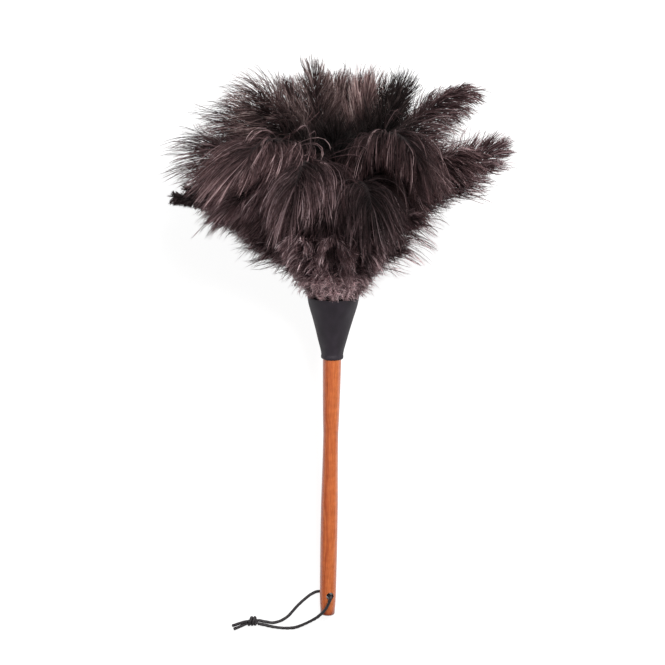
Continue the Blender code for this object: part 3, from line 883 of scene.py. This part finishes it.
def make_ferrule():
    """A leather sleeve with a lapped seam, a rolled foot and a slightly uneven rim."""
    heights, radii = smooth_profile(FERRULE_PROFILE, 8)
    # the inside needs only every sixth row, from the rim down
    inner_heights, inner_radii = heights[::-6], radii[::-6] - FERRULE_WALL
    inner_radii = np.maximum(inner_radii, HANDLE_PROFILE[-1][1] + HANDLE_GAP)
    all_heights = np.concatenate([heights, inner_heights, heights[:1]])
    all_radii = np.concatenate([radii, inner_radii, radii[:1]])
    local, quads = revolve(all_heights, all_radii, FERRULE_SIDES)
    share = np.clip(all_heights / FERRULE_PROFILE[-1][0], 0, 1)[:, None]
    angle = np.arctan2(local[..., 1], local[..., 0])
    chance = np.random.default_rng(7)
    uneven = sum(chance.normal() * np.sin(angle * k + chance.uniform(0, 2 * pi)) / k for k in range(2, 9))
    local[..., 2] += share**6 * uneven * RIM_WAVE
    past_seam = (np.degrees(angle) - SEAM_ANGLE) % 360.0
    lap = SEAM_STEP * np.clip(1 - past_seam / SEAM_FADE, 0, 1) * (past_seam > 0)
    levels = all_heights[:, None]
    dents = sum(
        chance.normal() * np.sin(angle * k + levels * chance.uniform(20, 160) + chance.uniform(0, 6))
        for k in range(2, 7)
    )
    outside = np.concatenate([np.ones(len(heights)), np.zeros(len(inner_heights)), [1.0]])[:, None]
    push = outside * (lap + dents * DENT)
    local[..., :2] *= (1 + push / all_radii[:, None])[..., None]
    local[..., 2] += FERRULE_FOOT
    points = in_row_frame(local.reshape(-1, 3))
    material = leather_material("black_leather", (0.0215, 0.0160, 0.0225), 16.0, 0.55)
    obj = mesh_object("leather_ferrule", points, quads, [], material)
    put_channels(obj.data, "grain", grain_channels(points))
    stand_for(obj, "ferrule")


def make_bindings():
    """A turn of galvanised wire round each ring of quills, inside the ferrule."""
    material, shader, make = new_material("binding_wire")
    tarnish = noise(make, make("ShaderNodeTexCoord").outputs["Object"], 900.0, 4.0, 0.6)
    inputs = {
        "Base Color": ramp(make, tarnish, [(0.3, (0.30, 0.27, 0.24)), (0.7, (0.62, 0.60, 0.57))]),
        "Metallic": 1.0,
        "Roughness": compute(make, "MULTIPLY_ADD", tarnish, 0.3, 0.25),
    }
    connect(shader, inputs)
    for ring in RINGS:
        low, high = node_reach(f"binding_{ring}")
        wire = (high - low) / 2
        middle = BUTT + ALONG * (low + high) / 2
        away = mesh_points(frame["nodes"][f"binding_{ring}"].data) - middle
        reach = np.linalg.norm(away - (away @ ALONG)[:, None] * ALONG, axis=1).max()
        bpy.ops.mesh.primitive_torus_add(
            major_radius=reach - wire, minor_radius=wire, major_segments=144, minor_segments=16
        )
        torus = bpy.context.active_object
        torus.name = f"wire_{ring}"
        torus.matrix_world = facing(middle, ALONG)
        torus.data.materials.append(material)
        torus.data.shade_smooth()
        stand_for(torus, f"binding_{ring}")


# ---------------------------------------------------------------- cord

CORD_RADIUS = 0.0015
# Routes as (right, towards the plumes, up), from the middle of the butt at table height.
FRONT_LEG = (  # out of the hole's upper mouth, over the handle and down to the knot
    (0.0032, 0.0185, 0.0225), (0.0025, 0.0158, 0.0222),
    (0.0009, 0.0115, 0.0205), (-0.0016, 0.0067, 0.0183),
    (-0.0057, 0.0017, 0.0153), (-0.0110, -0.0033, 0.0107),
    (-0.0187, -0.0082, 0.0062), (-0.0264, -0.0121, 0.0034),
    (-0.0335, -0.0146, 0.0021), (-0.0416, -0.0153, 0.0016),
    (-0.0488, -0.0149, 0.0016), (-0.0564, -0.0138, 0.0016),
    (-0.0640, -0.0119, 0.0021), (-0.0709, -0.0105, 0.0030),
)
BACK_LEG = (  # out of the hole's lower mouth, under the handle and along the table to the knot
    (-0.0043, 0.0221, 0.0017), (-0.0077, 0.0222, 0.0016),
    (-0.0121, 0.0215, 0.0016), (-0.0172, 0.0189, 0.0016),
    (-0.0228, 0.0146, 0.0016), (-0.0287, 0.0093, 0.0016),
    (-0.0340, 0.0037, 0.0016), (-0.0386, -0.0016, 0.0016),
    (-0.0437, -0.0057, 0.0016), (-0.0498, -0.0086, 0.0016),
    (-0.0564, -0.0098, 0.0016), (-0.0640, -0.0085, 0.0021),
    (-0.0707, -0.0071, 0.0030),
)
TAILS = {
    "cord_tail_upper": (
        (-0.0815, -0.0080, 0.0044),
        (-0.0864, -0.0094, 0.0030),
        (-0.0915, -0.0112, 0.0018),
        (-0.0971, -0.0130, 0.0016),
    ),
    "cord_tail_lower": (
        (-0.0812, -0.0102, 0.0020),
        (-0.0857, -0.0122, 0.0016),
        (-0.0905, -0.0144, 0.0016),
        (-0.0955, -0.0163, 0.0016),
    ),
}
KNOT_CENTRE = np.array((-0.0761, -0.0078, 0.0036))
KNOT_WRAP = (0.0036, 0.0021)  # the wrap's reach across the cords, and up from their middle
KNOT_START = 150.0  # degrees round the wrap where it begins
KNOT_TURNS = 2.2
KNOT_LENGTH = 0.0070
KNOT_LEAN = 0.0006  # how far the turns slant
KNOT_WAY_IN = (0.0022, 0.0, -0.0006)  # where the wound strand enters, from the knot's middle
KNOT_WAY_OUT = (-0.0022, 0.0, -0.0006)
KNOT_SAG = 0.0004  # how far the straight strand lies below the knot's middle
HOLE_PLACES = (-0.0093, -0.0060, 0.0, 0.0060, 0.0098)  # along the hole, from its middle
HOLE_SAG = 0.0004  # how far the cord lies off the hole's middle, towards the butt
CORD_SIDES = 20
CORD_STEP = 0.0005
CORD_WAVE = 0.022  # how uneven its thickness is, as a share
CORD_ASIDE = (0.13, 0.37, 0.92)  # a direction in which no cord starts
ROUTE_STEPS = 24  # between one place of a route and the next


def on_table(points):
    return np.asarray(points, float) + (BUTT[0], BUTT[1], 0.0)


def smooth_route(route, step):
    """Evenly spaced points on a smooth curve through a route."""
    route = np.asarray(route, float)
    ends = np.concatenate([[2 * route[0] - route[1]], route, [2 * route[-1] - route[-2]]])
    u = (np.arange(ROUTE_STEPS) / ROUTE_STEPS)[:, None]
    fine = []
    for i in range(1, len(ends) - 2):
        a, b, c, d = ends[i - 1 : i + 3]
        fine.append(
            b
            + (c - a) * (u / 2)
            + (2 * a - 5 * b + 4 * c - d) * (u * u / 2)
            + (3 * b - a - 3 * c + d) * (u**3 / 2)
        )
    fine = np.concatenate([*fine, route[-1:]])
    lengths = np.concatenate([[0], np.cumsum(np.linalg.norm(np.diff(fine, axis=0), axis=1))])
    even = np.linspace(0, lengths[-1], max(4, int(lengths[-1] / step)))
    return np.stack([np.interp(even, lengths, fine[:, i]) for i in range(3)], -1), lengths[-1]


def cord_mesh(name, path, material, seed):
    """A round leather lace along a path, a little uneven, with cut ends."""
    chance = np.random.default_rng(seed)
    run = unit(np.gradient(path, axis=0))
    first = np.zeros_like(run)
    first[0] = unit(np.cross(run[0], CORD_ASIDE))
    for i in range(1, len(run)):
        first[i] = unit(first[i - 1] - run[i] * (first[i - 1] @ run[i]))
    second = np.cross(run, first)
    along = np.concatenate([[0], np.cumsum(np.linalg.norm(np.diff(path, axis=0), axis=1))])[:, None]
    turn = np.arange(CORD_SIDES) * 2 * pi / CORD_SIDES
    waves = sum(
        chance.normal() * np.sin(along * chance.uniform(200, 1500) + turn * k + chance.uniform(0, 6))
        for k in range(1, 7)
    )
    from_end = np.minimum(np.arange(len(path)), np.arange(len(path))[::-1])[:, None]
    size = CORD_RADIUS * (1 + CORD_WAVE * waves) * np.minimum(1, np.sqrt(from_end + 0.55))
    ring = first[:, None] * np.cos(turn)[:, None] + second[:, None] * np.sin(turn)[:, None]
    points = (path[:, None] + ring * size[..., None]).reshape(-1, 3)
    here = np.arange(CORD_SIDES)
    beside = (here + 1) % CORD_SIDES
    last = len(points) - CORD_SIDES
    start_fan = np.stack([np.full(CORD_SIDES, len(points)), beside, here], -1)
    end_fan = np.stack([np.full(CORD_SIDES, len(points) + 1), last + here, last + beside], -1)
    points = np.concatenate([points, path[:1], path[-1:]])
    tris = np.concatenate([start_fan, end_fan])
    obj = mesh_object(name, points, ring_quads(len(path), CORD_SIDES), tris, material)
    put_channels(obj.data, "grain", grain_channels(points))
    return obj


def hole_route():
    """Where the cord runs through the hang hole, from below to above, as a route."""
    middle = BUTT + ALONG * (HOLE_HEIGHT - HOLE_SAG) - (BUTT[0], BUTT[1], 0.0)
    return middle + np.array(HOLE_PLACES)[:, None] * outward(90.0 - HOLE_TURN)


def knot_wrap(start, end):
    """The strand that is wound round the other one, from right to left, and pulled through."""
    across, up = KNOT_WRAP
    turn = np.radians(np.linspace(KNOT_START, KNOT_START + 360 * KNOT_TURNS, 24))
    along = np.linspace(0.5, -0.5, len(turn)) * KNOT_LENGTH
    lean = KNOT_LEAN * np.cos(turn)
    wrap = KNOT_CENTRE + np.stack([along + lean, across * np.cos(turn), up * np.sin(turn)], -1)
    into = start + (KNOT_CENTRE + KNOT_WAY_IN - start) * np.array([0.0, 0.6])[:, None]
    away = end + (KNOT_CENTRE + KNOT_WAY_OUT - end) * np.array([0.6, 0.0])[:, None]
    return np.concatenate([into, wrap[1:-1], away])


def make_cords():
    """The loop's two legs, the knot that ties them together, and the two cut tails."""
    material = leather_material("leather_cord", (0.024, 0.020, 0.022), 42.0, 0.45)
    pieces = {}
    for seed, (name, route) in enumerate(TAILS.items()):
        path, _ = smooth_route(on_table(route), CORD_STEP)
        pieces[name] = cord_mesh(f"lace_{name[5:]}", path, material, seed)
    back_end, front_end = np.array(BACK_LEG[-1]), np.array(FRONT_LEG[-1])
    tail_ends = [np.array(route[0]) for route in TAILS.values()]
    straight = [back_end, KNOT_CENTRE - (0.0, 0.0, KNOT_SAG), tail_ends[0]]
    strands = []
    for seed, route in enumerate((straight, knot_wrap(front_end, tail_ends[1]))):
        path, _ = smooth_route(on_table(route), CORD_STEP)
        strands.append(cord_mesh(f"knot_strand_{seed + 1}", path, material, 10 + seed))
    knot = strands[0]
    with bpy.context.temp_override(active_object=knot, selected_editable_objects=strands):
        bpy.ops.object.join()
    knot.name = "overhand_knot"
    pieces["cord_knot"] = knot
    for node, piece in pieces.items():
        stand_for(piece, node)
    hole = hole_route()
    for name, route, exit_at, ties in (
        ("front", [*hole, *FRONT_LEG], hole[-1], [knot, *(pieces[tail] for tail in TAILS)]),
        ("back", BACK_LEG, hole[0], []),
    ):
        path, length = smooth_route(on_table(route), CORD_STEP)
        leg = cord_mesh(f"lace_{name}_leg", path, material, 20 + len(name))
        stand_for(leg, f"cord_{name}_leg")


# ---------------------------------------------------------------- stage

FLOOR_SIZE = 6.0
FLOOR_GAP = 0.0005  # below the table height, so that nothing shares its surface
LIGHTS = {  # place, size and power
    "key_light": ((0.55, 0.75, 1.7), 0.7, 42.0),
    "fill_light": ((-1.0, 0.2, 1.5), 1.0, 8.0),
}
CAMERA_HEIGHT = 2.0
SHARP_PLANE = 0.035  # the height at which the view has its stated width
VIEW_WIDTH = 0.665
VIEW_MIDDLE = (0.00505, 0.2853)  # to the right of the butt, and towards the plumes
SENSOR = 36.0


def make_stage():
    """A pale table that glows a little, as it is overexposed in the photo, and soft lights."""
    bpy.ops.mesh.primitive_plane_add(size=FLOOR_SIZE, location=(0, 0, -FLOOR_GAP))
    floor = bpy.context.active_object
    floor.name = "floor"
    material, shader, make = new_material("pale_floor")
    inputs = {
        "Base Color": (0.22, 0.22, 0.22, 1.0),
        "Roughness": 0.9,
        "Emission Color": (1.0, 1.0, 1.0, 1.0),
        "Emission Strength": 0.90,
    }
    connect(shader, inputs)
    floor.data.materials.append(material)

    world = bpy.context.scene.world or bpy.data.worlds.new("World")
    bpy.context.scene.world = world
    world.use_nodes = True
    connect(world.node_tree.nodes["Background"], {"Color": (1.0, 1.0, 1.0, 1.0), "Strength": 0.12})
    bpy.context.scene.view_settings.view_transform = "Standard"
    bpy.context.scene.view_settings.look = "None"

    for name, (place, size, power) in LIGHTS.items():
        light = bpy.data.lights.new(name, "AREA")
        light.size = size
        light.energy = power
        lamp = add_object(name, light)
        lamp.location = place
        lamp.rotation_euler = Vector(place).to_track_quat("Z", "Y").to_euler()


def make_camera():
    """A camera that looks straight down on the table."""
    camera = bpy.data.cameras.new("camera")
    camera.sensor_width = SENSOR
    camera.lens = SENSOR * (CAMERA_HEIGHT - SHARP_PLANE) / VIEW_WIDTH
    obj = add_object("camera", camera)
    obj.location = (BUTT[0] + VIEW_MIDDLE[0], BUTT[1] + VIEW_MIDDLE[1], CAMERA_HEIGHT)
    bpy.context.scene.camera = obj


make_camera()
make_cords()
make_stage()
make_handle()
make_ferrule()
make_bindings()
make_plumes()
